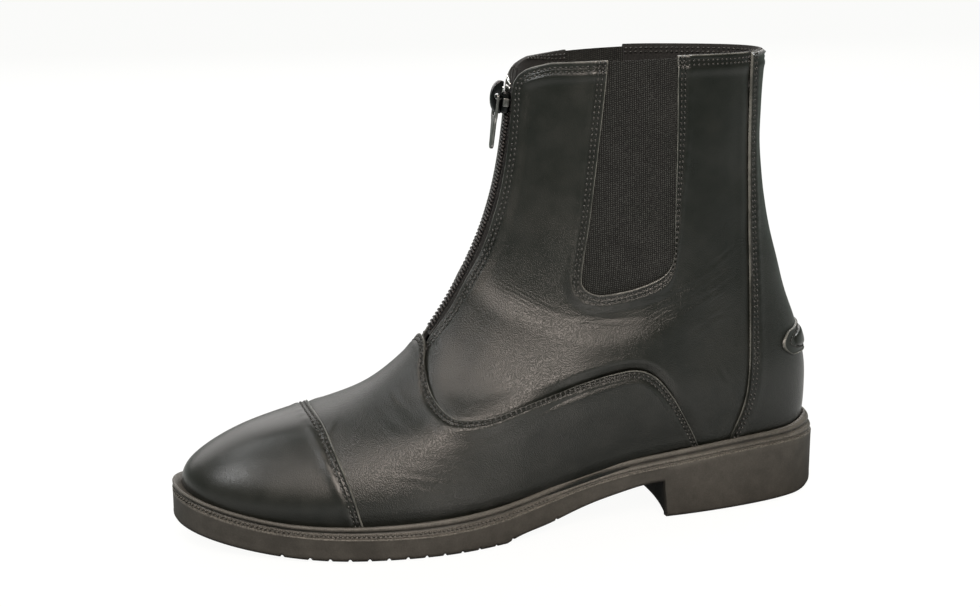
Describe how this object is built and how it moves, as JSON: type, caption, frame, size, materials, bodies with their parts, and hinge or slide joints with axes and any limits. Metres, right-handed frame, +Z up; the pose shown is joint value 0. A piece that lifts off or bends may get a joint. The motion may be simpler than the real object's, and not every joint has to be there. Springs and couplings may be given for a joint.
{
  "type": "jodhpur boot",
  "caption": "Black leather ankle riding boot for a left foot, with a front zip, elastic side gores, a stitched toe cap, a spur rest and a rubber sole with a low heel.",
  "frame": {"origin": "middle of the boot's outline on the floor it stands on", "axes": "+X towards the toe, +Y towards the outer (left) side, +Z up"},
  "size_m": [0.28, 0.0952, 0.1922],
  "materials": {
    "leather": "satin black, fine grain",
    "elastic": "matt black rib weave",
    "tape": "matt black woven tape",
    "zip_metal": "dark, half gloss",
    "lining": "matt grey",
    "rubber": "matt, warm dark grey"
  },
  "bodies": {
    "boot": {"upper": "leather", "vamp": "leather", "toe_cap": "leather", "back_strip": "leather", "spur_rest": "leather", "gore_outer": "elastic", "gore_inner": "elastic", "zip_tape": "tape", "zip_chain": "zip_metal", "zip_slider": "zip_metal", "insole": "lining", "welt": "rubber", "outsole": "rubber"},
    "pull": {"zip_pull": "zip_metal"}
  },
  "joints": [
    {"name": "zip_pull_swing", "type": "hinge", "parent": "boot", "child": "pull", "pos_m": [0.0045, -0.00232, 0.17485], "axis": [0, -1, 0], "range_deg": [-6, 150]}
  ]
}
